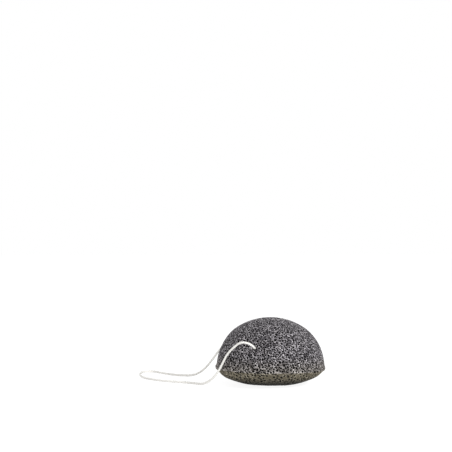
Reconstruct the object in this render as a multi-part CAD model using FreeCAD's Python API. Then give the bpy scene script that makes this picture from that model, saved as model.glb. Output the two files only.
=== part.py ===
"""Konjac face sponge: a foam half ball with a crowned underside, threaded by a knotted cotton hanging loop.

Millimetres, +Z up. The origin is the centre of the flat that the sponge rests on and -Y is its front. A cord
passes through the dome along Y, leaves it at the front, lies in a long loop on the left and comes back to a
knot at the rear mouth of its tunnel.
"""

import FreeCAD, Part
import math
import os

Vector = FreeCAD.Vector

# Foam body
sponge_diameter = 80.0
dome_height = 36.9  # from the rim band up to the crown
rim_band_height = 1.5  # upright edge between the dome and the underside
underside_depth = 10.3  # from the rim band down to the resting flat
rest_flat_diameter = 21.0
rim_fillet = 0.8  # along the lower edge of the rim band

# Tunnel that the cord is threaded through, parallel to Y
tunnel_left_offset = 12.0
tunnel_height = 29.0  # above the resting flat
tunnel_clearance = 0.08  # round the cord, on the radius
cut_overrun = 5.0

# Cotton cord
cord_diameter = 1.6
mouth_setback = 2.2  # how far inside the front mouth the free loop begins
front_lead = 4.5  # straight length of the loop at the front mouth
knot_lead = 7.0  # straight length of the loop at the knot

# Knot and its two cut ends; azimuths turn from +X towards +Y
knot_diameter = 5.2
knot_clearance = 0.5  # between the knot and the foam
knot_flat_margin = 0.2  # how far a flat on the knot is wider than the cord, on the radius
loop_azimuth, loop_elevation = 152.0, 15.0
long_tail_length = 8.5
long_tail_azimuth, long_tail_elevation = 55.0, -14.0
short_tail_length = 6.0
short_tail_azimuth, short_tail_elevation = 62.0, 44.0

# Free loop, from the front mouth round its far end on the surface and back up to the knot
loop_route = [
    (-13.6, -39.1, 31.4),
    (-17.5, -40.1, 33.6),
    (-22.4, -38.3, 33.7),
    (-27.0, -34.7, 29.6),
    (-31.0, -30.6, 25.2),
    (-34.2, -27.0, 18.8),
    (-37.2, -24.0, 12.2),
    (-42.0, -20.0, 5.8),
    (-48.5, -13.3, 1.2),
    (-55.5, -3.0, 0.8),
    (-65.0, 3.5, 0.8),
    (-76.0, 9.0, 0.8),
    (-86.0, 18.5, 0.8),
    (-94.5, 30.0, 0.8),
    (-98.0, 46.0, 0.8),
    (-98.4, 60.0, 0.8),
    (-97.6, 68.5, 0.8),
    (-93.4, 71.7, 0.8),
    (-88.2, 70.7, 0.8),
    (-83.8, 63.4, 0.8),
    (-77.0, 53.5, 0.8),
    (-67.5, 45.5, 0.8),
    (-57.0, 43.0, 0.8),
    (-49.5, 44.0, 4.6),
    (-43.6, 44.6, 11.6),
    (-36.4, 44.4, 21.4),
    (-28.6, 43.4, 29.4),
]
bend_share = 0.45  # of the shorter run, taken by the arc at each point of the route

rim_radius = sponge_diameter / 2
cord_radius = cord_diameter / 2
knot_radius = knot_diameter / 2
dome_base = underside_depth + rim_band_height
tunnel_rise = tunnel_height - dome_base
front = Vector(0, -1, 0)


def heading(azimuth, elevation):
    """Unit vector at an azimuth from +X towards +Y and an elevation above the horizontal."""
    across = math.cos(math.radians(elevation))
    return Vector(
        across * math.cos(math.radians(azimuth)),
        across * math.sin(math.radians(azimuth)),
        math.sin(math.radians(elevation)),
    )


def tunnel_reach():
    """Distance along Y from the middle plane to a mouth of the tunnel, on the dome's ellipsoid."""
    level_radius = rim_radius * math.sqrt(1 - (tunnel_rise / dome_height) ** 2)
    return math.sqrt(level_radius**2 - tunnel_left_offset**2)


def on_tunnel(y):
    """Point of the tunnel's axis at a given Y."""
    return Vector(-tunnel_left_offset, y, tunnel_height)


def knot_centre():
    """Place on the tunnel's axis where the knot just clears the dome's tangent plane at the rear mouth."""
    mouth = tunnel_reach()
    normal = Vector(
        -tunnel_left_offset / rim_radius**2,
        mouth / rim_radius**2,
        tunnel_rise / dome_height**2,
    ).normalize()
    return on_tunnel(mouth + (knot_radius + knot_clearance) / normal.y)


def knot_face(direction):
    """Centre of the flat that the knot turns towards a strand leaving in the given direction."""
    flat_radius = cord_radius + knot_flat_margin
    return knot_centre() + direction * math.sqrt(knot_radius**2 - flat_radius**2)


def sponge_solid():
    """Half-ellipse dome, rim band and crowned underside turned about Z, then rounded at the rim and bored."""
    rest_radius = rest_flat_diameter / 2
    span = rim_radius - rest_radius
    crown_radius = (span**2 + underside_depth**2) / (2 * underside_depth)
    half_angle = math.atan2(span, crown_radius - underside_depth) / 2
    middle = Vector(
        rest_radius + crown_radius * math.sin(half_angle), 0, crown_radius * (1 - math.cos(half_angle))
    )
    base = Vector(0, 0, 0)
    flat_edge = Vector(rest_radius, 0, 0)
    rim_low = Vector(rim_radius, 0, underside_depth)
    rim_high = Vector(rim_radius, 0, dome_base)
    crown = Vector(0, 0, dome_base + dome_height)

    stretch = FreeCAD.Matrix()
    stretch.A33 = dome_height / rim_radius
    stretch.A34 = dome_base
    slant = rim_radius * math.cos(math.pi / 4)
    quarter = Part.Arc(Vector(rim_radius, 0, 0), Vector(slant, 0, slant), Vector(0, 0, rim_radius))
    dome = quarter.toShape().transformGeometry(stretch)

    edges = [
        Part.LineSegment(base, flat_edge).toShape(),
        Part.Arc(flat_edge, middle, rim_low).toShape(),
        Part.LineSegment(rim_low, rim_high).toShape(),
        dome,
        Part.LineSegment(crown, base).toShape(),
    ]
    profile = Part.Face(Part.Wire(Part.__sortEdges__(edges)))
    body = profile.revolve(base, Vector(0, 0, 1), 360)
    widest = [edge for edge in body.Edges if edge.BoundBox.XLength > sponge_diameter - rim_fillet]
    lowest = min(widest, key=lambda edge: edge.BoundBox.ZMax)
    body = body.makeFillet(rim_fillet, [lowest])

    length = sponge_diameter + 2 * cut_overrun
    bore = Part.makeCylinder(cord_radius + tunnel_clearance, length, on_tunnel(length / 2), front)
    return body.cut(bore)


def cord_tube(points):
    """Round tube along straight runs joined by tangent arcs, each as large as its two runs allow."""
    edges = []
    radii = []
    start = points[0]
    for before, point, after in zip(points, points[1:], points[2:]):
        back = before - point
        on = after - point
        tangent = bend_share * min(back.Length, on.Length)
        half_turn = (math.pi - back.getAngle(on)) / 2
        radius = tangent / math.tan(half_turn)
        arc_start = point + back.normalize() * tangent
        arc_end = point + on.normalize() * tangent
        inward = (back + on).normalize()
        arc_middle = point + inward * (math.hypot(tangent, radius) - radius)
        edges.append(Part.LineSegment(start, arc_start).toShape())
        edges.append(Part.Arc(arc_start, arc_middle, arc_end).toShape())
        radii.append(radius)
        start = arc_end
    edges.append(Part.LineSegment(start, points[-1]).toShape())
    path = Part.Wire(edges)
    section = Part.Wire(Part.Circle(points[0], points[1] - points[0], cord_radius).toShape())
    tube = path.makePipeShell([section], True, False)
    expected = math.pi * cord_radius**2 * path.Length
    print("Loop: %.1f mm long, volume %.2f of %.2f mm3" % (path.Length, tube.Volume, expected))
    print("Bend radii, mm:", ", ".join("%.1f" % radius for radius in radii))
    return tube


def knot_solid(strands):
    """Ball with a flat across each direction in which a strand leaves it."""
    knot = Part.makeSphere(knot_radius, knot_centre())
    for direction in strands:
        knot = knot.cut(Part.makeCylinder(knot_radius, knot_radius, knot_face(direction), direction))
    return knot


def main():
    loop_way = heading(loop_azimuth, loop_elevation)
    long_way = heading(long_tail_azimuth, long_tail_elevation)
    short_way = heading(short_tail_azimuth, short_tail_elevation)
    loop_start = on_tunnel(mouth_setback - tunnel_reach())
    knot_front = knot_face(front)
    loop_end = knot_face(loop_way)
    route = [loop_start, loop_start + front * front_lead]
    route += [Vector(*point) for point in loop_route]
    route += [loop_end + loop_way * knot_lead, loop_end]

    run_length = knot_front.y - loop_start.y
    nodes = {
        "sponge_body": sponge_solid(),
        "tunnel_cord": Part.makeCylinder(cord_radius, run_length, knot_front, front),
        "hanging_loop": cord_tube(route),
        "cord_knot": knot_solid([front, loop_way, long_way, short_way]),
        "long_tail": Part.makeCylinder(cord_radius, long_tail_length, knot_face(long_way), long_way),
        "short_tail": Part.makeCylinder(cord_radius, short_tail_length, knot_face(short_way), short_way),
    }
    os.makedirs("parts", exist_ok=True)
    for name, shape in nodes.items():
        print(name, "valid" if shape.isValid() else "INVALID", shape.ShapeType, "%.2f mm3" % shape.Volume)
        shape.exportStep("parts/%s.step" % name)
    for name, point in (("loop start", route[0]), ("front lead", route[1]), ("knot lead", route[-2])):
        print(name, tuple(round(value, 2) for value in point))
    print("loop end", tuple(round(value, 2) for value in loop_end))
    print("knot centre", tuple(round(value, 2) for value in knot_centre()))


main()
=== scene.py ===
"""Konjac face sponge: dark open-cell foam and a twisted cotton hanging loop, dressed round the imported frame.

The foam is one closed grid surface dented by pores. The cord is a three-ply profile carried along its route.
Lengths are in millimetres until a mesh is made, except those of the cord's route, the camera and the lamps,
which are in metres.
"""

import math

import bpy
import numpy as np
from mathutils import Euler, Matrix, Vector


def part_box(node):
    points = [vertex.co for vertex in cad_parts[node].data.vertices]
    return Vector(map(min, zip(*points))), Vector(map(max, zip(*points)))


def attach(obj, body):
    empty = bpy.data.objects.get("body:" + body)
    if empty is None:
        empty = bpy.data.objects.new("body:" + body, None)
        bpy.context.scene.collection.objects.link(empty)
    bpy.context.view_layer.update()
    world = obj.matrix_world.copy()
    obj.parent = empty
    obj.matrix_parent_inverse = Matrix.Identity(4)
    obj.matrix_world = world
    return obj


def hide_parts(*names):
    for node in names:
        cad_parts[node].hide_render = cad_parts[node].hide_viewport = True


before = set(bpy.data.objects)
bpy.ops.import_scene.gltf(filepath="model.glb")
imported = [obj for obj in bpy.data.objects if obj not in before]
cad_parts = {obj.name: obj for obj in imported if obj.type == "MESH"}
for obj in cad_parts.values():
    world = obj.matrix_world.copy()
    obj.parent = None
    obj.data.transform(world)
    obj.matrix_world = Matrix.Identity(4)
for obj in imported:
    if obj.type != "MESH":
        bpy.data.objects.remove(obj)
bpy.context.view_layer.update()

MM = 0.001


def heading(azimuth, elevation):
    """Unit vector at an azimuth from +X towards +Y and an elevation above the horizontal, in degrees."""
    turn, rise = math.radians(azimuth), math.radians(elevation)
    return np.array((math.cos(rise) * math.cos(turn), math.cos(rise) * math.sin(turn), math.sin(rise)))


# Foam outline, with its overall size from the frame
FOAM_LOW, FOAM_HIGH = (np.array(corner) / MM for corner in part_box("sponge_body"))
RIM_RADIUS = (FOAM_HIGH[0] - FOAM_LOW[0]) / 2
FOAM_HEIGHT = FOAM_HIGH[2]
RIM_LOW, RIM_HIGH = 10.3, 11.8  # lower and upper edge of the rim's upright band
REST_RADIUS = 10.5
RIM_EASE = 0.7  # length over which the normals turn at the rim
DOME_POINTS, ARC_POINTS, FLAT_POINTS = 1200, 600, 200
OUTLINE_STEP = 0.05  # between the places where the normals are smoothed

# Foam grid and its flat map
CAP_CELLS = 200  # cells along a side of the crown's and the base's square grids
CAP_REACH = 31.0  # length along the outline from a pole to the edge of its square grid
CELL = 0.31
MAP_SIZE, MAP_START = 0.49, 0.51  # side of a cap on the map, and where the second row and column start

# Lattices for noise and pores
FOAM_MARGIN = 5.0  # room round the foam
TILT = np.array(Euler((0.6, 0.4, 0.9)).to_matrix())

# Skin of the foam; rises and fades are lengths along the outline from the rim band's upper edge
LUMPS = ((0.22, 17.0, 11), (0.09, 6.0, 12))  # height, size and seed of each set
SKIN_INSET, INSET_RISE = 0.5, (0.4, 4.0)  # how far the crown and the sides lie inside the outline
SHOULDER_HOLLOW = 0.5  # how far the left shoulder lies inside the outline
SHOULDER_RISE, SHOULDER_FADE = (0.4, 2.6), (18.0, 32.0)
LEFT_FOCUS = 6  # power of the cosine that keeps the hollow to the left
RIM_SLOPE = np.array((-0.013, -0.020))  # of the rim's height, towards the right and towards the rear
SLOPE_FOOT, SLOPE_FADE = 5.0, (2.0, 18.0)  # height above the flat at which the slope starts, and its fade
RIM_UNDERCUT = 0.65  # how far the rim band's lower edge is drawn in
UNDERCUT_DROP, UNDERCUT_FADE = 1.9, (2.4, 8.0)  # lengths below the rim over which it grows and fades
BELLY_SWELL, BELLY_PLACE, BELLY_WIDTH = 0.35, 9.5, 5.0  # fullness of the underside, below the rim
FLAT_LIFT, FLAT_EASE = 0.3, 5.5  # rounding of the resting flat's edge, its height and half width
FLASH_HEIGHT, FLASH_WIDTH = 0.2, 0.45  # thin edge that the mould's parting line leaves at the rim
FLASH_PATCH = (0.6, 0.9, 8.0, 17)  # mean, swing, size and seed
FLASH_SEAL, FLASH_SHEEN = 0.8, 0.75  # how far it closes the pores, and how far it takes the lips' painted highlight
MOUTH_RADIUS, MOUTH_DEPTH = 1.3, 3.4  # pit where the cord enters
DIMPLE_RADIUS, DIMPLE_DEPTH = 3.2, 0.5
GRAIN = (0.06, 0.8, 15)  # height, size and seed
UNDER_DROP = 1.5  # length below the rim over which the underside begins
TAN_SHARE, TAN_RISE = 0.35, 12.0  # part of the underside's tan that reaches above the rim, and how far

# Pores: each set's lattice spacing, least gap between sites, widest opening radius, and the shares kept on
# the dome and underneath
PORES = (
    (1.65, 1.05, 0.80, 1.0, 0.10),
    (0.90, 0.56, 0.32, 1.0, 0.30),
    (2.40, 1.70, 0.78, 0.0, 1.0),
)
PORE_SEED, SHAPE_SEED = 21, 50  # the first set's, and what is added to a set's for the shapes of its pores
PORE_WARPS = ((0.26, 1.6, 13), (0.6, 5.0, 14))  # reach, size and seed of the noise that bends the openings
PORE_DEPTHS = (0.5, 2.4)  # shallowest and deepest, as shares of the opening's radius
PORE_WALL = 0.18  # least thickness between two pores
WALL_SLOPE = 2.4
LIP_HEIGHT, LIP_WIDTH = 0.12, 0.34
LIP_EDGE = 0.1  # depth inside a pore at which its lip ends
LIP_SAG = 0.5  # how far the thick side of a pore's lip, where its painted highlight sits, tends downwards
LIP_TURN = (-0.1, 0.9)  # cosines from the thick side between which the lip comes in
LIP_PATCH = (0.75, 0.8, 1.6, 16)  # mean, swing, size and seed of the patches of the lips' painted highlight

# Foam material; the dome's and the underside's colours run from painted shade deep in a pore to a painted
# highlight on the top of its lip
DOME_COLOURS = ((0.0, "#040404"), (0.3, "#121012"), (0.5, "#474348"), (0.95, "#fcf8fe"))
UNDER_COLOURS = ((0.0, "#040404"), (0.3, "#14110e"), (0.5, "#746d5c"), (0.95, "#f6eedb"))
PORE_SHADE = 2.6  # how fast the painted shade in a pore deepens with its depth
DYE_PATCH, DYE_TINTS = 2.2, ((0.3, "#dedcd9"), (0.7, "#ffffff"))  # size of the dye's uneven patches
CONTACT_SHADE_HEIGHTS = (3.0, 9.0)  # heights between which the painted shade round the resting flat fades out
CONTACT_SHADE_TINTS = ((0.0, "#585858"), (1.0, "#ffffff"))
SKIN_SPECK = 0.5  # size of the skin's finest bumps, coarser than real ones so that they show
SKINNED, FOAM_ROUGH, LIP_ROUGH = 0.5, 0.8, 0.2  # lip at which the skin is smoothest, and both roughnesses
FINE_BUMP = 0.08  # height of the finest bumps, on the cord too

# Cord
CORD_DIAMETER = 1.6
PLIES = 3
GROOVE = 0.2  # depth of the groove between plies, as a share of the radius
PLY_TWIST = 5.2  # length of one full turn of the plies
CORD_STEP, CORD_SIDES = 0.24, 30
CORD_UPWARD = np.array((0.3, 0.5, 0.8))  # a direction that no cord runs along
STREAK_WIDTH, STREAK_LENGTH, STREAK_SHARE = 0.22, 1.6, 0.6
FUZZ_SIZE = 0.5  # like the streaks, coarser than real fibres so that it shows
COTTON_COLOURS = ((0.0, "#f3f0e9"), (1.0, "#fdfcf9"))
YARN_RANGE = (0.5, 1.1)  # of streaks and fuzz together, from the yarn's darkest to its palest
SPLINE_STEPS, SPLINE_ORDER = 32, 3
TUNNEL = np.array((-12.0, 0.0, 29.0))
KNOT = np.array((-12.0, 37.09, 29.0))
ROUTE = [
    (-0.0120, -0.03109, 0.0290),
    (-0.0120, -0.03559, 0.0290),
    (-0.0136, -0.0391, 0.0314),
    (-0.0175, -0.0401, 0.0336),
    (-0.0224, -0.0383, 0.0337),
    (-0.0270, -0.0347, 0.0296),
    (-0.0310, -0.0306, 0.0252),
    (-0.0342, -0.0270, 0.0188),
    (-0.0372, -0.0240, 0.0122),
    (-0.0420, -0.0200, 0.0058),
    (-0.0485, -0.0133, 0.0012),
    (-0.0555, -0.0030, 0.0008),
    (-0.0650, 0.0035, 0.0008),
    (-0.0760, 0.0090, 0.0008),
    (-0.0860, 0.0185, 0.0008),
    (-0.0945, 0.0300, 0.0008),
    (-0.0980, 0.0460, 0.0008),
    (-0.0984, 0.0600, 0.0008),
    (-0.0976, 0.0685, 0.0008),
    (-0.0934, 0.0717, 0.0008),
    (-0.0882, 0.0707, 0.0008),
    (-0.0838, 0.0634, 0.0008),
    (-0.0770, 0.0535, 0.0008),
    (-0.0675, 0.0455, 0.0008),
    (-0.0570, 0.0430, 0.0008),
    (-0.0495, 0.0440, 0.0046),
    (-0.0436, 0.0446, 0.0116),
    (-0.0364, 0.0444, 0.0214),
    (-0.0286, 0.0434, 0.0294),
    (-0.02002, 0.04135, 0.03143),
    (-0.01405, 0.03818, 0.02962),
]

# Knot at the rear mouth, and the two cut ends that leave it
UP = np.array((0, 0, 1))
FRONT = np.array((0.0, -1.0, 0.0))
LOOP_WAY = heading(152, 15)
TAIL_WAYS = np.array((heading(55, -14), heading(62, 44)))
TAIL_NAMES = ("long_cut_end", "short_cut_end")
TAIL_LENGTHS, TAIL_SEEDS = (8.5, 6.0), (5, 6)
TAIL_DROOP, TAIL_POINTS = 0.6, 6
TUNNEL_START = -31.09  # along Y
KNOT_REACH = 2.9  # from the knot's centre to the ends of its strands
KNOT_OVERLAP = 1.0  # how far the tunnel's strand and the tails run in past those ends
KNOT_RADIUS, KNOT_LENGTH = 1.45, 2.4  # of the strands' helix
KNOT_TURNS, KNOT_POINTS = 1.5, 13
FRAY_LENGTH = 2.4
FIBRES, FIBRE_STEPS, FIBRE_SIDES = 60, 5, 3
FIBRE_RADIUS, FIBRE_TAPER = 0.07, 0.6  # at the root, and the share of it that is lost at the tip
FIBRE_ROOTS, FIBRE_SINK = 0.85, 0.2  # share of the cord's radius that they grow from, and how far inside
FIBRE_SPREAD, FIBRE_REACH = (0.05, 0.5), (0.55, 1.0)  # least and most, as slope and as share of the length
FIBRE_CURL = 0.5  # bend at the tip, as a share of the fibre's length

# Camera and lamps; each lamp's name, place, size, power, and whether glossy surfaces mirror it
CAMERA_PLACE = (-0.0322, -0.9148, 0.1149)
CAMERA_LENS = 100.0
LAMP_TARGET = np.array((0.0, 0.0, 0.02))
LAMPS = (
    ("key", (0.66, -0.52, 0.52), 0.07, 5.0, True),
    ("fill", (-0.25, -1.18, 0.24), 0.45, 5.4, False),
    ("back", (-0.60, 1.05, 0.55), 0.50, 5.0, False),
)
AMBIENT = 0.42  # strength of the world as light
FLOOR_GLOW = 0.9  # white that the floor adds where it is shown
FLOOR_REACH = 4000.0  # from its middle to a side


def srgb(code):
    """Linear red, green, blue and alpha of an sRGB hex colour."""
    values = np.array([int(code[i : i + 2], 16) for i in (1, 3, 5)]) / 255
    linear = np.where(values <= 0.04045, values / 12.92, ((values + 0.055) / 1.055) ** 2.4)
    return (*(float(value) for value in linear), 1.0)


def unit(vectors):
    """Vectors of length 1 along the last axis."""
    return vectors / np.linalg.norm(vectors, axis=-1, keepdims=True)


def eased(values, low, high):
    """Smooth step from 0 at low to 1 at high."""
    part = np.clip((values - low) / (high - low), 0, 1)
    return part * part * (3 - 2 * part)


def bell(values, width):
    """Bell curve: 1 at zero, and e to the power of -1 at the width."""
    return np.exp(-((values / width) ** 2))


def lattice(size):
    """Corner of a cubic lattice round the foam, with cells of one size, and its count along a side.

    The lattice is turned by TILT, so that its layers lie along no side of the foam.
    """
    reach = np.linalg.norm(FOAM_HIGH - FOAM_LOW) / 2 + FOAM_MARGIN
    corner = TILT @ (FOAM_LOW + FOAM_HIGH) / 2 - reach
    return corner, math.ceil(2 * reach / size) + 1


def noise(points, size, seed):
    """Smooth noise from -1 to 1, three values a point.

    Each corner of a lattice draws four even random numbers, and the first three are eased between corners.
    """
    corner, count = lattice(size)
    values = np.random.default_rng(seed).random((count, count, count, 4))
    places = (points @ TILT.T - corner) / size
    cell = np.floor(places).astype(int)
    part = places - cell
    ease = part * part * (3 - 2 * part)
    total = np.zeros(points.shape)
    for step in np.ndindex(2, 2, 2):
        weight = np.prod(np.where(np.array(step), ease, 1 - ease), axis=1)
        i, j, k = (cell + step).T
        total += weight[:, None] * (2 * values[i, j, k, :3] - 1)
    return total


def bumps(points, height, size, seed):
    """Noise of a given height, one value a point."""
    return height * noise(points, size, seed)[:, 0]


def patches(points, mean, swing, size, seed):
    """Noise about a mean, kept from 0 to 1."""
    return np.clip(mean + bumps(points, swing, size, seed), 0, 1)


def neighbours(table, home):
    """The site in each of the 27 cells round a home cell, one after another, and where there is one."""
    for step in np.ndindex(3, 3, 3):
        i, j, k = (home + np.array(step) - 1).T
        site = table[i, j, k]
        yield site, site >= 0


def pore_sites(points, share, spacing, gap, most, seed):
    """Sites of pores spread evenly over a surface, and the radius of each one's opening.

    A site is one vertex, drawn at random, in each cell of a cubic lattice. Of two sites nearer than the gap
    only the first drawn stays, and of those only a share. An opening reaches half-way to its nearest
    neighbour, less half the wall between them. Returns the lattice's corner and its table of sites too.
    """
    corner, count = lattice(spacing)
    cells = (count, count, count)
    random = np.random.default_rng(seed)
    drawn = random.permutation(len(points))
    home = np.floor((points[drawn] - corner) / spacing).astype(int)
    _, first = np.unique(np.ravel_multi_index(home.T, cells), return_index=True)
    first = np.sort(first)
    sites, home = points[drawn[first]], home[first]
    order = np.arange(len(sites))
    table = np.full(cells, -1)
    table[tuple(home.T)] = order
    dropped = random.random(len(sites)) > share[drawn[first]]
    for other, there in neighbours(table, home):
        near = np.linalg.norm(sites - sites[other], axis=1) < gap
        dropped |= there & (other < order) & near
    table[tuple(home[dropped].T)] = -1
    nearest = np.full(len(sites), 2 * most + PORE_WALL)
    for other, there in neighbours(table, home):
        distance = np.linalg.norm(sites - sites[other], axis=1)
        nearest = np.where(there & (other != order), np.minimum(nearest, distance), nearest)
    return corner, table, sites, (nearest - PORE_WALL) / 2


def pore_set(points, share, spacing, gap, most, seed):
    """Dents of one set of pores, each a half ellipsoid as deep as a random share of its opening's radius.

    No wall is steeper than WALL_SLOPE, and outside the opening the wall's slope runs on, as a depth below
    zero. A bell curve across the opening's edge makes a lip, which fades from one side of the pore, drawn at
    random, to the other. Returns the depth and the lip, from 0 to 1, at each point.
    """
    corner, table, sites, openings = pore_sites(points, share, spacing, gap, most, seed)
    random = np.random.default_rng(seed + SHAPE_SEED)
    shares = random.uniform(*PORE_DEPTHS, len(sites))
    thick_side = unit(random.normal(size=(len(sites), 3)) - LIP_SAG * TILT[:, 2])
    home = np.floor((points - corner) / spacing).astype(int)
    depth = np.full(len(points), -LIP_WIDTH)
    lip = np.zeros(len(points))
    for site, there in neighbours(table, home):
        opening = openings[site]
        away = points - sites[site]
        off = np.linalg.norm(away, axis=1)
        wall = WALL_SLOPE * (opening - off)
        bowl = shares[site] * np.sqrt(np.maximum(opening**2 - off**2, 0))
        dent = np.where(wall > 0, np.minimum(bowl, wall), wall)
        depth = np.where(there, np.maximum(depth, dent), depth)
        turned = np.sum(away * thick_side[site], 1) / np.maximum(off, PORE_WALL)
        ridge = eased(turned, *LIP_TURN) * bell(off - opening, LIP_WIDTH)
        lip = np.where(there, np.maximum(lip, ridge), lip)
    return depth, lip


def outline():
    """Sponge's outline from crown to base centre.

    A quarter ellipse leads down to the rim, a short upright band follows, an arc leads in to the resting
    flat, and the flat closes it. Returns the running length, the radius and height there, and the outward
    normal's two parts, smoothed along the outline.
    """
    dome = np.linspace(0, math.pi / 2, DOME_POINTS)
    span = RIM_RADIUS - REST_RADIUS
    bend = (span**2 + RIM_LOW**2) / (2 * RIM_LOW)
    sweep = np.linspace(math.atan2(span, bend - RIM_LOW), 0, ARC_POINTS)
    flat = np.linspace(REST_RADIUS, 0, FLAT_POINTS)[1:]
    dome_heights = RIM_HIGH + (FOAM_HEIGHT - RIM_HIGH) * np.cos(dome)
    radius = np.concatenate([RIM_RADIUS * np.sin(dome), REST_RADIUS + bend * np.sin(sweep), flat])
    height = np.concatenate([dome_heights, bend * (1 - np.cos(sweep)), 0 * flat])
    along = np.concatenate([[0], np.cumsum(np.hypot(np.diff(radius), np.diff(height)))])
    slope_r, slope_z = np.gradient(radius, along), np.gradient(height, along)
    even = np.arange(0, along[-1], OUTLINE_STEP)
    window = np.hanning(2 * int(RIM_EASE / OUTLINE_STEP) + 1)
    window /= window.sum()
    pad = len(window) // 2
    turned = []
    for values in (-slope_z, slope_r):
        padded = np.pad(np.interp(even, along, values), pad, mode="edge")
        turned.append(np.interp(along, even, np.convolve(padded, window, mode="valid")))
    size = np.hypot(*turned)
    return along, radius, height, turned[0] / size, turned[1] / size


def square_disc(cells):
    """Concentric map of a square grid onto a disc: a square ring at reach s becomes a circle of radius s."""
    u, v = np.meshgrid(np.linspace(-1, 1, cells + 1), np.linspace(-1, 1, cells + 1), indexing="ij")
    wide = np.abs(u) > np.abs(v)
    safe_u = np.where(wide, u, 1)
    safe_v = np.where(wide | (v == 0), 1, v)
    angle = np.where(
        wide,
        math.pi / 4 * v / safe_u + math.pi * (u < 0),
        math.pi / 2 - math.pi / 4 * u / safe_v + math.pi * (v < 0),
    )
    return np.where(wide, np.abs(u), np.abs(v)), angle


def foam_grid(total):
    """Closed grid over an outline of this length: a square cap at each pole, and rings between the caps.

    Returns each vertex's length along the outline and its angle, the quads, and each quad corner's place on
    a flat map, where the caps are two squares and the rings one strip.
    """
    n = CAP_CELLS
    reach, angle = square_disc(n)
    index = np.arange((n + 1) ** 2).reshape(n + 1, n + 1)
    edge = np.concatenate([index[n, :n], index[n:0:-1, n], index[0, n:0:-1], index[:n, 0]])
    rings = int(round((total - 2 * CAP_REACH) / CELL))
    lengths = np.linspace(CAP_REACH, total - CAP_REACH, rings + 1)
    band_angle = -math.pi / 4 + np.arange(4 * n) * math.pi / 2 / n
    band = index.size + np.arange((rings - 1) * 4 * n).reshape(rings - 1, 4 * n)
    base_start = index.size + band.size
    low = base_start + index
    ring_rows = np.vstack([edge, band, base_start + edge])

    cap_lengths = (reach * CAP_REACH).ravel()
    base_lengths = (total - reach * CAP_REACH).ravel()
    along = np.concatenate([cap_lengths, np.repeat(lengths[1:-1], 4 * n), base_lengths])
    turn = np.concatenate([angle.ravel(), np.tile(band_angle, rings - 1), angle.ravel()])

    crown = np.stack([index[:-1, :-1], index[1:, :-1], index[1:, 1:], index[:-1, 1:]], -1)
    base = np.stack([low[:-1, :-1], low[:-1, 1:], low[1:, 1:], low[1:, :-1]], -1)
    after = np.roll(ring_rows, -1, axis=1)
    side = np.stack([ring_rows[:-1], ring_rows[1:], after[1:], after[:-1]], -1)
    quads = np.concatenate([faces.reshape(-1, 4) for faces in (crown, side, base)])
    return along, turn, quads, flat_map(n, rings)


def flat_map(n, rings):
    """Corner places of the crown, side and base quads on one unit square, in the order of the quads."""
    step = np.arange(n) / n
    i, j = np.meshgrid(step, step, indexing="ij")
    corner = np.array([(0, 0), (1, 0), (1, 1), (0, 1)]) / n
    cap = np.stack([i, j], -1).reshape(-1, 1, 2)
    crown = (cap + corner) * MAP_SIZE
    base = (cap + corner[[0, 3, 2, 1]]) * MAP_SIZE + (MAP_START, 0)
    k, m = np.meshgrid(np.arange(rings) / rings, np.arange(4 * n) / (4 * n), indexing="ij")
    strip_corner = np.array([(0, 0), (0, 1 / rings), (1 / (4 * n), 1 / rings), (1 / (4 * n), 0)])
    strip = np.stack([m, k], -1).reshape(-1, 1, 2) + strip_corner
    side = strip * (1.0, MAP_SIZE) + (0, MAP_START)
    return np.concatenate([crown, side, base]).reshape(-1, 2)


def mesh_piece(name, points, face_groups, material):
    """Object at the origin with a smooth-shaded mesh of points, in millimetres, and arrays of faces."""
    mesh = bpy.data.meshes.new(name)
    mesh.vertices.add(len(points))
    mesh.vertices.foreach_set("co", (np.asarray(points) * MM).astype(np.float32).ravel())
    corners = np.concatenate([faces.ravel() for faces in face_groups])
    sizes = np.concatenate([np.full(len(faces), faces.shape[1]) for faces in face_groups])
    mesh.loops.add(len(corners))
    mesh.loops.foreach_set("vertex_index", corners.astype(np.int32))
    mesh.polygons.add(len(sizes))
    mesh.polygons.foreach_set("loop_start", (np.cumsum(sizes) - sizes).astype(np.int32))
    mesh.update(calc_edges=True)
    mesh.shade_smooth()
    mesh.materials.append(material)
    piece = bpy.data.objects.new(name, mesh)
    bpy.context.scene.collection.objects.link(piece)
    return piece


def point_attribute(piece, name, values):
    """Gives each vertex of a piece one number, under a name that its material reads."""
    attribute = piece.data.attributes.new(name, "FLOAT", "POINT")
    attribute.data.foreach_set("value", values.astype(np.float32))


def corner_map(piece, name, places):
    """Gives a piece a UV map from one place for each face corner."""
    layer = piece.data.uv_layers.new(name=name)
    layer.uv.foreach_set("vector", places.astype(np.float32).ravel())


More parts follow.
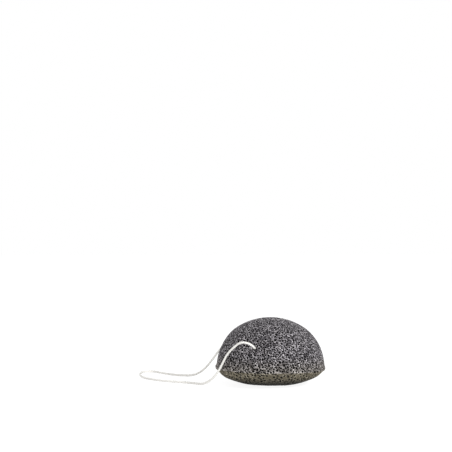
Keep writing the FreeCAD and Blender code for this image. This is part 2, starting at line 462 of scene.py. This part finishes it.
def moulded_skin(points, normals, above, turn):
    """Skin before its pores: the outline moved along its normals by lumps, hollows, a swell and a rim flash.

    above is the length up the outline from the rim band's upper edge. The left shoulder's hollow is a smooth
    window in that length times a power of the cosine from the left. Below the rim the undercut grows evenly
    and fades, and the belly is a bell curve. The inset goes with the square of the cosine of twice the
    normal's rise, so the shoulder keeps to the outline. The flash is a bell curve across the rim, patchy
    along it. Last, the rim is sloped by RIM_SLOPE, and a bell curve in the radius lifts the flat's edge.
    Returns the skin and the flash.
    """
    out = np.hypot(points[:, 0], points[:, 1])
    below = above < 0
    lumps = sum(bumps(points, *settings) for settings in LUMPS)
    leftness = np.clip(-np.cos(turn), 0, 1) ** LEFT_FOCUS
    shoulder = eased(above, *SHOULDER_RISE) * (1 - eased(above, *SHOULDER_FADE))
    undercut = np.clip(-above / UNDERCUT_DROP, 0, 1) * (1 - eased(-above, *UNDERCUT_FADE))
    belly = bell(above + BELLY_PLACE, BELLY_WIDTH) * below
    hollow = SHOULDER_HOLLOW * leftness * shoulder + RIM_UNDERCUT * undercut - BELLY_SWELL * belly
    flash = bell(above, FLASH_WIDTH) * patches(points, *FLASH_PATCH)
    inset = SKIN_INSET * (1 - 2 * normals[:, 2] ** 2) ** 2 * eased(above, *INSET_RISE)
    skin = points + normals * (lumps - hollow - inset + FLASH_HEIGHT * flash)[:, None]
    near_rim = eased(skin[:, 2], SLOPE_FOOT, RIM_LOW) * (1 - eased(above, *SLOPE_FADE))
    skin[:, 2] += skin[:, :2] @ RIM_SLOPE * near_rim
    skin[:, 2] += FLAT_LIFT * bell(out - REST_RADIUS - FLAT_EASE, FLAT_EASE) * below
    return skin, flash


def pores(skin, under):
    """Depth of the pores at each point, below zero between them, and their lips, from 0 to 1."""
    bent = skin
    for reach, size, seed in PORE_WARPS:
        bent = bent + reach * noise(skin, size, seed)
    bent = bent @ TILT.T
    depth = np.full(len(skin), -LIP_WIDTH)
    lip = np.zeros(len(skin))
    for row, (spacing, gap, most, dome_share, under_share) in enumerate(PORES):
        share = dome_share + (under_share - dome_share) * under
        dent, ridge = pore_set(bent, share, spacing, gap, most, PORE_SEED + row)
        depth = np.maximum(depth, dent)
        lip = np.maximum(lip, ridge)
    return depth, lip


def mouth_pits(points):
    """Depths of the cord's steep round pit and of the shallow dimple round it, at both tunnel mouths."""
    off = np.hypot(points[:, 0] - TUNNEL[0], points[:, 2] - TUNNEL[2])
    pit = np.clip(WALL_SLOPE * (MOUTH_RADIUS - off), 0, MOUTH_DEPTH)
    return pit, DIMPLE_DEPTH * bell(off, DIMPLE_RADIUS)


def foam_surface():
    """Sponge: the outline turned about Z and moulded, then dented by pores and the cord's two mouths."""
    length, radius, height, normal_r, normal_z = outline()
    along, turn, quads, places = foam_grid(length[-1])
    r, z, nr, nz = (np.interp(along, length, values) for values in (radius, height, normal_r, normal_z))
    around = np.stack([np.cos(turn), np.sin(turn)], -1)
    normals = np.concatenate([around * nr[:, None], nz[:, None]], 1)
    points = np.concatenate([around * r[:, None], z[:, None]], 1)
    above = np.interp(-RIM_HIGH, -height, length) - along

    under = eased(-above, 0, UNDER_DROP)
    skin, flash = moulded_skin(points, normals, above, turn)
    depth, lip = pores(skin, under)
    depth = np.where(depth > 0, depth * (1 - FLASH_SEAL * flash), depth)
    relief = np.where(depth > LIP_EDGE, 0, LIP_HEIGHT * lip) - np.maximum(depth, 0)
    grain = bumps(skin, *GRAIN)
    pit, dimple = mouth_pits(points)
    foam = skin + normals * (relief + grain - dimple)[:, None]
    foam[:, 1] -= np.sign(points[:, 1]) * pit
    foam[:, 2] = np.maximum(foam[:, 2], 0)

    # Painted highlight on the lips, in patches, and along the rim's flash
    pale = np.maximum(lip * patches(skin, *LIP_PATCH), FLASH_SHEEN * flash)
    tanned = TAN_SHARE * eased(-above, -TAN_RISE, 0) + (1 - TAN_SHARE) * under
    piece = mesh_piece("foam_sponge", foam, [quads], konjac_foam())
    point_attribute(piece, "pore_depth", np.maximum(depth, pit))
    point_attribute(piece, "lip_highlight", pale)
    point_attribute(piece, "underside", tanned)
    corner_map(piece, "OFBake", places)
    return piece


def add_node(tree, kind, settings=None, stops=(), **links):
    """Adds a shader node. Settings name its properties; links name inputs, each a socket or a plain value.

    An input without a name of its own goes by its place, as i0, i1 and so on. Stops are the positions and
    hex colours of a colour ramp.
    """
    node = tree.nodes.new("ShaderNode" + kind)
    for name, value in (settings or {}).items():
        setattr(node, name, value)
    for name, value in links.items():
        key = int(name[1:]) if name[0] == "i" and name[1:].isdigit() else name.replace("_", " ")
        socket = node.inputs[key]
        if isinstance(value, bpy.types.NodeSocket):
            tree.links.new(value, socket)
        else:
            socket.default_value = value
    elements = node.color_ramp.elements if stops else ()
    while len(elements) < len(stops):
        elements.new(0.5)
    for element, (place, code) in zip(elements, stops):
        element.position = place
        element.color = srgb(code)
    return node


def new_material(name):
    """Material without any nodes, and its node tree."""
    material = bpy.data.materials.new(name)
    material.use_nodes = True
    material.node_tree.nodes.clear()
    return material, material.node_tree


def konjac_foam():
    """Konjac gel dyed with charcoal, foamed, moulded and dried: black pits between grey walls that glint.

    The pits get painted shade that deepens with their depth, and the lips and the rim's flash a painted
    highlight. The underside is tan, and painted shade darkens the foam towards the flat that it rests on.
    """
    material, tree = new_material("moulded_konjac_foam")
    place = add_node(tree, "TexCoord").outputs["Object"]
    pore, lip, under = (
        add_node(tree, "Attribute", {"attribute_name": name}).outputs["Fac"]
        for name in ("pore_depth", "lip_highlight", "underside")
    )
    # Painted shade darkens the colour with the pore's depth, and the lips' painted highlight lightens it
    edge = add_node(tree, "MapRange", i0=pore, i1=0.0, i2=LIP_EDGE, i3=1.0, i4=0.0).outputs[0]
    lip = add_node(tree, "Math", {"operation": "MULTIPLY"}, i0=lip, i1=edge).outputs[0]
    depth = add_node(tree, "Math", {"operation": "MAXIMUM"}, i0=pore, i1=0.0).outputs[0]
    darken = {"operation": "MULTIPLY_ADD"}
    level = add_node(tree, "Math", darken, i0=depth, i1=-PORE_SHADE, i2=lip).outputs[0]
    level = add_node(tree, "MapRange", i0=level, i1=-1.0, i2=1.0).outputs[0]
    dome = add_node(tree, "ValToRGB", stops=DOME_COLOURS, Fac=level).outputs["Color"]
    base = add_node(tree, "ValToRGB", stops=UNDER_COLOURS, Fac=level).outputs["Color"]
    colour = add_node(tree, "Mix", {"data_type": "RGBA"}, i0=under, i6=dome, i7=base).outputs[2]

    patch = add_node(tree, "TexNoise", Vector=place, Scale=1 / (DYE_PATCH * MM), Detail=3.0).outputs["Fac"]
    tint = add_node(tree, "ValToRGB", stops=DYE_TINTS, Fac=patch).outputs["Color"]
    # Painted shade: the foam gets darker towards the flat that it rests on
    height = add_node(tree, "SeparateXYZ", Vector=place).outputs["Z"]
    low, high = (limit * MM for limit in CONTACT_SHADE_HEIGHTS)
    rise = add_node(tree, "MapRange", i0=height, i1=low, i2=high).outputs[0]
    contact_shade = add_node(tree, "ValToRGB", stops=CONTACT_SHADE_TINTS, Fac=rise).outputs["Color"]
    multiply = {"data_type": "RGBA", "blend_type": "MULTIPLY"}
    for shade in (tint, contact_shade):
        colour = add_node(tree, "Mix", multiply, i0=1.0, i6=colour, i7=shade).outputs[2]

    skin = add_node(tree, "Math", {"operation": "SUBTRACT"}, i0=lip, i1=under).outputs[0]
    gloss = add_node(tree, "MapRange", i0=skin, i1=0.0, i2=SKINNED, i3=FOAM_ROUGH, i4=LIP_ROUGH).outputs[0]
    fine = add_node(tree, "TexNoise", Vector=place, Scale=1 / (SKIN_SPECK * MM), Detail=3.0).outputs["Fac"]
    bump = add_node(tree, "Bump", Strength=0.3, Distance=FINE_BUMP * MM, Height=fine).outputs[0]
    look = {"Base_Color": colour, "Roughness": gloss, "IOR": 1.33, "Normal": bump}
    shader = add_node(tree, "BsdfPrincipled", **look).outputs["BSDF"]
    add_node(tree, "OutputMaterial", Surface=shader)
    return material


def cotton_cord():
    """Undyed cotton yarn, three plies twisted into a cord: matt off-white with soft streaks along it."""
    material, tree = new_material("twisted_cotton_cord")
    place = add_node(tree, "TexCoord").outputs["Object"]
    lay = add_node(tree, "UVMap", {"uv_map": "lay"}).outputs["UV"]
    scale = (1 / STREAK_WIDTH, 1 / STREAK_LENGTH, 1.0)
    stretch = add_node(tree, "Mapping", Vector=lay, Scale=scale).outputs[0]
    streak = add_node(tree, "TexNoise", Vector=stretch, Scale=1.0, Detail=2.0).outputs["Fac"]
    fuzz = add_node(tree, "TexNoise", Vector=place, Scale=1 / (FUZZ_SIZE * MM), Detail=4.0).outputs["Fac"]
    add_up = {"operation": "MULTIPLY_ADD"}
    both = add_node(tree, "Math", add_up, i0=streak, i1=STREAK_SHARE, i2=fuzz).outputs[0]
    dark, pale = YARN_RANGE
    level = add_node(tree, "MapRange", i0=both, i1=dark, i2=pale).outputs[0]
    colour = add_node(tree, "ValToRGB", stops=COTTON_COLOURS, Fac=level).outputs["Color"]
    bump = add_node(tree, "Bump", Strength=0.6, Distance=FINE_BUMP * MM, Height=both).outputs[0]
    look = {"Base_Color": colour, "Roughness": 0.9, "IOR": 1.5, "Normal": bump, "Sheen_Weight": 0.15}
    shader = add_node(tree, "BsdfPrincipled", **look).outputs["BSDF"]
    add_node(tree, "OutputMaterial", Surface=shader)
    return material


def spline_line(name, route):
    """Points, in millimetres, along the smooth curve that takes the route as its control points."""
    curve = bpy.data.curves.new(name, "CURVE")
    curve.dimensions = "3D"
    curve.resolution_u = SPLINE_STEPS
    spline = curve.splines.new("NURBS")
    spline.points.add(len(route) - 1)
    spline.points.foreach_set("co", np.array([(*point, 1.0) for point in route]).ravel())
    spline.order_u = SPLINE_ORDER
    spline.use_endpoint_u = True
    holder = bpy.data.objects.new(name, curve)
    line = bpy.data.meshes.new_from_object(holder)
    points = np.zeros(len(line.vertices) * 3)
    line.vertices.foreach_get("co", points)
    bpy.data.objects.remove(holder)
    bpy.data.curves.remove(curve)
    bpy.data.meshes.remove(line)
    return points.reshape(-1, 3) / MM


def resampled(line, step):
    """The same line with points an even step apart, and the length along it at each."""
    along = np.concatenate([[0], np.cumsum(np.linalg.norm(np.diff(line, axis=0), axis=1))])
    even = np.linspace(0, along[-1], int(round(along[-1] / step)) + 1)
    return np.stack([np.interp(even, along, line[:, axis]) for axis in range(3)], -1), even


def carried_frame(line):
    """Two unit vectors square to the line at each point, carried along it without turning about it.

    They start from a frame set up by CORD_UPWARD, whose running turn about the line is then taken back out.
    """
    ahead = unit(np.gradient(line, axis=0))
    side = unit(np.cross(ahead, CORD_UPWARD))
    other = np.cross(ahead, side)
    step = np.arctan2(np.sum(side[1:] * other[:-1], 1), np.sum(side[1:] * side[:-1], 1))
    turned = np.concatenate([[0], np.cumsum(step)])[:, None]
    first = np.cos(turned) * side - np.sin(turned) * other
    return first, np.cross(ahead, first)


def cord_grid(line, first_index=0):
    """Twisted cord along a line: rings that dip at each groove between plies and turn steadily, ends closed.

    The radius is the cord's, less GROOVE of it times one minus the cosine's size over half the plies' angle.
    Returns the points, the faces and each face corner's place round and along the cord in millimetres.
    """
    line, along = resampled(line, CORD_STEP)
    first, second = carried_frame(line)
    around = np.arange(CORD_SIDES + 1) / CORD_SIDES
    angle = 2 * math.pi * (around[None, :-1] + along[:, None] / PLY_TWIST)
    reach = CORD_DIAMETER / 2 * (1 - GROOVE * (1 - np.abs(np.cos(PLIES * math.pi * around[:-1]))))
    ring = first[:, None] * np.cos(angle)[..., None] + second[:, None] * np.sin(angle)[..., None]
    points = (line[:, None] + ring * reach[None, :, None]).reshape(-1, 3)
    rows = first_index + np.arange(len(points)).reshape(len(line), CORD_SIDES)
    after = np.roll(rows, -1, axis=1)
    quads = np.stack([rows[:-1], after[:-1], after[1:], rows[1:]], -1).reshape(-1, 4)
    u, v = np.meshgrid(around * math.pi * CORD_DIAMETER, along)
    flat = np.stack([u, v], -1)
    wall = np.stack([flat[:-1, :-1], flat[:-1, 1:], flat[1:, 1:], flat[1:, :-1]], 2).reshape(-1, 2)
    ends = np.stack([rows[0, ::-1], rows[-1]])
    caps = np.concatenate([flat[0, :-1][::-1], flat[-1, :-1]])
    return points, [quads, ends], np.concatenate([wall, caps])


def cord_piece(name, lines, material):
    """One piece of twisted cord, along one line or several."""
    points, quads, ends, walls, caps = [], [], [], [], []
    count = 0
    for line in lines:
        grid, (wall_faces, end_faces), flat = cord_grid(line, count)
        count += len(grid)
        points.append(grid)
        quads.append(wall_faces)
        ends.append(end_faces)
        walls.append(flat[: wall_faces.size])
        caps.append(flat[wall_faces.size :])
    piece = mesh_piece(name, np.concatenate(points), [np.concatenate(quads), np.concatenate(ends)], material)
    corner_map(piece, "lay", np.concatenate(walls + caps))
    return piece


def knot_strand(enter, leave, start):
    """Line of one strand through the knot: in along one way, a helix about the knot's axis, and out."""
    axis = unit(np.sum(TAIL_WAYS, 0) - FRONT - LOOP_WAY)
    first = unit(np.cross(axis, UP))
    second = np.cross(axis, first)
    turn = start + np.linspace(0, KNOT_TURNS * 2 * math.pi, KNOT_POINTS)[:, None]
    rise = np.linspace(-0.5, 0.5, KNOT_POINTS)[:, None] * KNOT_LENGTH
    wound = KNOT + rise * axis + KNOT_RADIUS * (np.cos(turn) * first + np.sin(turn) * second)
    ends = [KNOT + enter * KNOT_REACH, KNOT + leave * KNOT_REACH]
    return spline_line("strand", np.vstack([ends[0], wound, ends[1]]) * MM)


def loose_fibres(end, way, side, other, seed):
    """Points of thin tubes that fan out from a cut end: a ring of corners at each step of each fibre.

    A fibre's line starts at a random place on the end, follows the tail's way plus a random spread, and
    bends aside with the square of its length.
    """
    random = np.random.default_rng(seed)
    angle = random.random(FIBRES) * 2 * math.pi
    off = CORD_DIAMETER / 2 * FIBRE_ROOTS * np.sqrt(random.random(FIBRES))
    outward = np.cos(angle)[:, None] * side + np.sin(angle)[:, None] * other
    spread = random.uniform(*FIBRE_SPREAD, FIBRES)
    curl = unit(random.normal(size=(FIBRES, 3))) * FIBRE_CURL
    reach = FRAY_LENGTH * random.uniform(*FIBRE_REACH, FIBRES)
    part = np.linspace(0, 1, FIBRE_STEPS)
    root = end - way * FIBRE_SINK + outward * off[:, None]
    away = way + outward * spread[:, None]
    lines = (
        root[:, None]
        + (away * reach[:, None])[:, None] * part[None, :, None]
        + (curl * reach[:, None])[:, None] * part[None, :, None] ** 2
    )
    taper = FIBRE_RADIUS * (1 - FIBRE_TAPER * part)
    corner = np.arange(FIBRE_SIDES) / FIBRE_SIDES * 2 * math.pi
    ring = np.cos(corner)[:, None] * side + np.sin(corner)[:, None] * other
    return lines[:, :, None] + taper[None, :, None, None] * ring[None, None]


def frayed_tail(name, way, length, seed, material):
    """Cut end of the cord: a short twisted stretch that sags a little, then loose fibres from its end."""
    start = KNOT + way * (KNOT_REACH - KNOT_OVERLAP)
    stem = length + KNOT_OVERLAP - FRAY_LENGTH
    side = unit(np.cross(way, UP))
    other = np.cross(way, side)
    steps = np.linspace(0, 1, TAIL_POINTS)[:, None]
    stem_line = start + way * stem * steps - UP * TAIL_DROOP * steps**2
    points, (walls, ends), flat = cord_grid(stem_line)
    hairs = loose_fibres(stem_line[-1], way, side, other, seed)
    index = len(points) + np.arange(hairs[..., 0].size).reshape(hairs.shape[:3])
    after = np.roll(index, -1, axis=2)
    sides = np.stack([index[:, :-1], after[:, :-1], after[:, 1:], index[:, 1:]], -1).reshape(-1, 4)
    tips = np.concatenate([index[:, 0, ::-1], index[:, -1]])
    piece = mesh_piece(name, np.vstack([points, hairs.reshape(-1, 3)]), [walls, ends, sides, tips], material)
    fibre_map = np.zeros((sides.size + tips.size, 2))
    corner_map(piece, "lay", np.vstack([flat, fibre_map]))
    return piece


def camera():
    """Level camera at the photograph's viewpoint, looking along +Y."""
    data = bpy.data.cameras.new("camera")
    data.lens = CAMERA_LENS
    eye = bpy.data.objects.new("camera", data)
    eye.location = CAMERA_PLACE
    eye.rotation_euler = (math.pi / 2, 0, 0)
    bpy.context.scene.collection.objects.link(eye)
    bpy.context.scene.camera = eye


def lamp(name, place, size, power, glints):
    """Square soft box at a place, turned to LAMP_TARGET. Glossy surfaces mirror it only if it glints."""
    data = bpy.data.lights.new(name, "AREA")
    data.size = size
    data.energy = power
    light = bpy.data.objects.new(name, data)
    light.location = place
    light.visible_glossy = glints
    direction = LAMP_TARGET - np.array(place)
    yaw = math.atan2(direction[1], direction[0]) - math.pi / 2
    pitch = math.atan2(direction[2], math.hypot(direction[0], direction[1]))
    light.rotation_euler = (math.pi / 2 + pitch, 0, yaw)
    bpy.context.scene.collection.objects.link(light)


def by_ray(tree, lighting, shown):
    """One shader for the rays that light the scene, and another for the rays that show it.

    Those that show it are the camera's, and those of gloss and transmission.
    """
    rays = add_node(tree, "LightPath").outputs
    showing = rays["Is Camera Ray"]
    for name in ("Is Glossy Ray", "Is Transmission Ray"):
        showing = add_node(tree, "Math", {"operation": "MAXIMUM"}, i0=showing, i1=rays[name]).outputs[0]
    return add_node(tree, "MixShader", Fac=showing, i1=lighting, i2=shown).outputs[0]


def white_studio():
    """White world and floor: both show as white to the camera, and the floor keeps a faint shadow."""
    white = srgb("#ffffff")
    world = bpy.data.worlds.new("studio")
    bpy.context.scene.world = world
    world.use_nodes = True
    tree = world.node_tree
    tree.nodes.clear()
    ambient = add_node(tree, "Background", Color=white, Strength=AMBIENT).outputs[0]
    plain = add_node(tree, "Background", Color=white, Strength=1.0).outputs[0]
    add_node(tree, "OutputWorld", Surface=by_ray(tree, ambient, plain))

    material, tree = new_material("white_floor")
    matt = add_node(tree, "BsdfDiffuse", Color=srgb("#f2f2f2")).outputs[0]
    glow = add_node(tree, "Emission", Color=white, Strength=FLOOR_GLOW).outputs[0]
    faint = add_node(tree, "BsdfDiffuse", Color=srgb("#8c8c8c")).outputs[0]
    lifted = add_node(tree, "AddShader", i0=faint, i1=glow).outputs[0]
    add_node(tree, "OutputMaterial", Surface=by_ray(tree, matt, lifted))
    points = np.array([(-1, -1, 0), (1, -1, 0), (1, 1, 0), (-1, 1, 0)]) * FLOOR_REACH
    floor = mesh_piece("floor", points, [np.array([[0, 1, 2, 3]])], material)


camera()
white_studio()
for settings in LAMPS:
    lamp(*settings)

sponge = foam_surface()
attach(sponge, "sponge")
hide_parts("sponge_body")

cord_finish = cotton_cord()
loop_line = spline_line("route", ROUTE)
loop = cord_piece("hanging_loop_cord", [loop_line], cord_finish)
tunnel_ends = np.array([TUNNEL + (0, TUNNEL_START, 0), KNOT + FRONT * (KNOT_REACH - KNOT_OVERLAP)])
tunnel_strand = cord_piece("tunnel_strand", [tunnel_ends], cord_finish)
knot_lines = [knot_strand(FRONT, TAIL_WAYS[0], 0.0), knot_strand(LOOP_WAY, TAIL_WAYS[1], math.pi)]
knot = cord_piece("wound_knot", knot_lines, cord_finish)
tails = [
    frayed_tail(*settings, cord_finish)
    for settings in zip(TAIL_NAMES, TAIL_WAYS, TAIL_LENGTHS, TAIL_SEEDS)
]
for piece, node in (
    (loop, "hanging_loop"),
    (tunnel_strand, "tunnel_cord"),
    (knot, "cord_knot"),
    (tails[0], "long_tail"),
    (tails[1], "short_tail"),
):
    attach(piece, "loop")
    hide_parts(node)

bpy.context.scene.view_settings.view_transform = "Standard"
